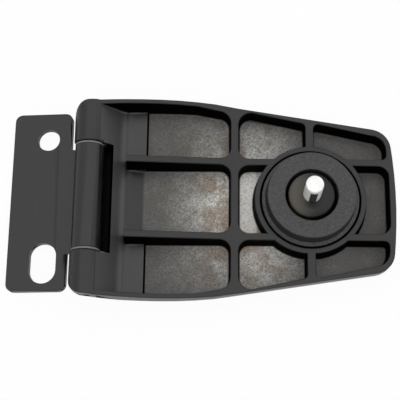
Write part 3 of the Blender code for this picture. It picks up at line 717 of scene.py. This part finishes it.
@dataclass
class Leaf:
    """The rolled sheet and the two flanged sleeves in its barrel."""

    crease: float = 40.0
    bore: float = 3.0
    outer: float = 3.45
    flange_radius: float = 6.48
    flange_face: float = 24.55
    flange_thickness: float = 0.9
    sleeve_end: float = 12.3
    sleeve_seam: float = 16.3
    sleeve_edge: float = 0.2

    def build(self) -> None:
        """Build and dress the sheet and the sleeves."""
        sheet = merged_copy("leaf_plate", "rolled_sheet", self.crease)
        dress(sheet, "leaf_plate", Body.LEAF, COATED_SHEET)
        for node, side in (("barrel_bushing_upper", 1.0), ("barrel_bushing_lower", -1.0)):
            dress(self.sleeve(node + "_sleeve", side), node, Body.LEAF, LINER)

    def sleeve(self, name: str, side: float) -> bpy.types.Object:
        """One flanged sleeve, a closed ring profile turned about the pin.

        Args:
            name: the piece's name.
            side: 1 towards +Y and -1 towards -Y.

        Returns:
            The sleeve.
        """
        top = self.flange_face + self.flange_thickness
        ring = np.array([
            (self.bore, self.sleeve_seam),
            (self.bore, top),
            (self.flange_radius, top),
            (self.flange_radius, self.flange_face),
            (self.outer, self.flange_face),
            (self.outer, self.sleeve_end),
            (self.bore, self.sleeve_end),
            (self.bore, self.sleeve_seam - SEAM_GAP),
        ])
        profile = softened(ring, self.sleeve_edge) * np.array([1.0, side])
        return turned(name, profile, (PIN_X, 0.0, PIN_HEIGHT), Axis.PIN, steps=96)


@dataclass
class Cover:
    """The ribbed casting and the pin pressed into its knuckles."""

    crease: float = 50.0
    pin_radius: float = 2.9
    pin_chamfer: float = 0.5

    def build(self) -> None:
        """Build and dress the casting and the pin."""
        casting = merged_copy("cover_casting", "coated_casting", self.crease)
        dress(casting, "cover_casting", Body.COVER, COATED_CASTING)
        dress(self.pin(), "hinge_pin", Body.COVER, GROUND_STEEL)

    def pin(self) -> bpy.types.Object:
        """The pin, with softened ends, as long as its CAD node."""
        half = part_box("hinge_pin")[1][1] / MM
        line = np.array([
            (0.0, half),
            (self.pin_radius, half),
            (self.pin_radius, -half),
            (0.0, -half),
        ])
        profile = softened(line, self.pin_chamfer)
        return turned("ground_pin", profile, (PIN_X, 0.0, PIN_HEIGHT), Axis.PIN, steps=64)


@dataclass
class GlassSeat:
    """The rubber pad, the domed bush and the stud in the ring rib."""

    pad_base: float = 7.3
    pad_top: float = 19.1
    pad_hole: float = 11.9
    pad_seam: float = 14.0
    pad_top_radius: float = 20.1
    pad_foot_radius: float = 20.6
    pad_edge: float = 0.7
    flange: float = 12.1
    flange_radius: float = 22.3
    flange_base_radius: float = 22.1
    bush_base: float = 7.3
    bush_rim: float = 18.1
    bush_top: float = 19.9
    bush_radius: float = 10.5
    bush_lip: float = 6.2
    crown_points: int = 14
    seat_gap: float = 0.08
    stud_foot: float = 2.9
    stud_tip: float = 34.7
    stud_radius: float = 4.0
    stud_edge: float = 0.8
    centre: Colour = (STUD_X, 0.0, 0.0)

    def build(self) -> None:
        """Build and dress the three pieces."""
        dress(self.pad(), "glass_pad", Body.COVER, MOULDED_RUBBER)
        dress(self.bush(), "stud_bush", Body.COVER, BLACK_MOULDING)
        dress(self.stud(), "stud", Body.COVER, STUD_STEEL)

    def pad(self) -> bpy.types.Object:
        """The seat, a closed ring profile with a flange at its foot."""
        ring = np.array([
            (self.pad_hole, self.pad_seam),
            (self.pad_hole, self.pad_top),
            (self.pad_top_radius, self.pad_top),
            (self.pad_foot_radius, self.flange),
            (self.flange_radius, self.flange),
            (self.flange_base_radius, self.pad_base),
            (self.pad_hole, self.pad_base),
            (self.pad_hole, self.pad_seam - SEAM_GAP),
        ])
        profile = softened(ring, self.pad_edge)
        return turned("moulded_pad", profile, self.centre, Axis.STUD, steps=180)

    def bush(self) -> bpy.types.Object:
        """The bush, whose crown is a quarter ellipse from its lip to its rim."""
        angle = np.linspace(math.pi / 2, 0.0, self.crown_points)
        radius = self.bush_lip + (self.bush_radius - self.bush_lip) * np.cos(angle)
        height = self.bush_rim + (self.bush_top - self.bush_rim) * np.sin(angle)
        bore = self.stud_radius + self.seat_gap
        ring = np.vstack([
            [(bore, self.bush_top)],
            np.column_stack([radius, height]),
            [(self.bush_radius, self.bush_base), (bore, self.bush_base)],
        ])
        return turned("domed_bush", ring, self.centre, Axis.STUD)

    def stud(self) -> bpy.types.Object:
        """The stud, with softened ends."""
        line = np.array([
            (0.0, self.stud_tip),
            (self.stud_radius, self.stud_tip),
            (self.stud_radius, self.stud_foot),
            (0.0, self.stud_foot),
        ])
        profile = softened(line, self.stud_edge)
        return turned("bright_stud", profile, self.centre, Axis.STUD, steps=96)


@dataclass
class Studio:
    """A pale floor, soft light from above and the photograph's camera.

    The eye is in millimetres, the turn in radians, and softbox, floor and clip in metres.
    """

    lens: float = 105.1714
    sensor: float = 36.0
    shift: tuple[float, float] = (-0.031901, -0.089865)
    clip: Span = (0.01, 20.0)
    turn: tuple[float, float, float] = (0.322603, 0.012709, -0.022012)
    eye: Colour = (2.52, -154.15, 521.84)
    softbox: tuple[float, float] = (3.0, 1.6)
    softbox_place: Colour = (0.7, 0.3, 1.2)
    softbox_radiance: float = 0.5
    fill: float = 0.8
    reflected: float = 0.9
    floor_reach: float = 4.0
    floor_drop: float = 0.0002
    floor_tone: float = 0.85
    floor_clear: float = 0.95
    floor_mirrored: float = 0.3

    def build(self) -> None:
        """Set up floor, light and camera."""
        bpy.context.scene.view_settings.view_transform = "Standard"
        self.floor()
        self.lamp()
        self.world()
        self.camera()

    def floor(self) -> None:
        """A wide floor just under the hinge that keeps a faint shadow.

        The camera looks through most of it to the white world, so the cover still shows when it
        swings down past the floor.
        """
        mesh = bpy.data.meshes.new("floor")
        corner = np.array([(-1, -1), (1, -1), (1, 1), (-1, 1)]) * self.floor_reach
        points = np.column_stack([corner, np.full(4, -self.floor_drop)])
        mesh.from_pydata(points.tolist(), [], [(0, 1, 2, 3)])
        made = placed("floor", mesh)
        surface = bpy.data.materials.new("floor_white")
        surface.use_nodes = True
        nodes, links = surface.node_tree.nodes, surface.node_tree.links
        nodes.remove(nodes["Principled BSDF"])
        graph = Graph(surface.node_tree)
        tone = opaque((self.floor_tone,) * 3)
        matt = graph.add("ShaderNodeBsdfDiffuse", {}, {"Color": tone})
        bright = graph.add("ShaderNodeEmission", {}, {"Color": WHITE, "Strength": 1.0})
        clear = graph.add("ShaderNodeBsdfTransparent", {}, {})
        path = graph.add("ShaderNodeLightPath", {}, {})
        glossy = path.output(GLOSSY_RAY) * self.floor_mirrored
        mirrored = graph.add("ShaderNodeMixShader", {}, {0: glossy, 1: matt, 2: bright})
        seen = path * self.floor_clear
        mixed = graph.add("ShaderNodeMixShader", {}, {0: seen, 1: mirrored, 2: clear})
        links.new(mixed.socket, nodes["Material Output"].inputs[0])
        mesh.materials.append(surface)

    def lamp(self) -> None:
        """One broad softbox overhead, behind the hinge and reaching out past its tip."""
        light = bpy.data.lights.new("softbox", "AREA")
        light.shape = "RECTANGLE"
        light.size, light.size_y = self.softbox
        light.energy = self.softbox_radiance * math.pi * light.size * light.size_y
        made = placed("softbox", light)
        made.location = self.softbox_place
        made.visible_camera = False

    def world(self) -> None:
        """Even fill light, white where the camera sees it and nearly white in reflections."""
        world = bpy.data.worlds.new("studio")
        bpy.context.scene.world = world
        world.use_nodes = True
        graph = Graph(world.node_tree)
        path = graph.add("ShaderNodeLightPath", {}, {})
        mirrored = path.output(GLOSSY_RAY) * (self.reflected - self.fill)
        strength = path * (1.0 - self.fill) + mirrored + self.fill
        backdrop = world.node_tree.nodes["Background"]
        backdrop.inputs["Color"].default_value = WHITE
        world.node_tree.links.new(strength.socket, backdrop.inputs["Strength"])

    def camera(self) -> None:
        """The camera that was fitted to the photograph."""
        lens = bpy.data.cameras.new("camera")
        lens.sensor_fit = "HORIZONTAL"
        lens.sensor_width = self.sensor
        lens.lens = self.lens
        lens.shift_x, lens.shift_y = self.shift
        lens.clip_start, lens.clip_end = self.clip
        pitch, yaw, roll = self.turn
        level = Matrix.Rotation(-yaw, 4, "Z")
        facing = level @ Matrix.Rotation(pitch, 4, "X") @ Matrix.Rotation(-roll, 4, "Z")
        made = placed("camera", lens)
        made.matrix_world = Matrix.Translation(Vector(self.eye) * MM) @ facing
        bpy.context.scene.camera = made


def main() -> None:
    """Build each sub-assembly and the studio, and log each piece's face count."""
    logging.basicConfig(level=logging.INFO, format="%(message)s")
    for part in (Leaf(), Cover(), GlassSeat(), Studio()):
        part.build()
        LOG.info("%s built", type(part).__name__)


if __name__ == "__main__":
    main()
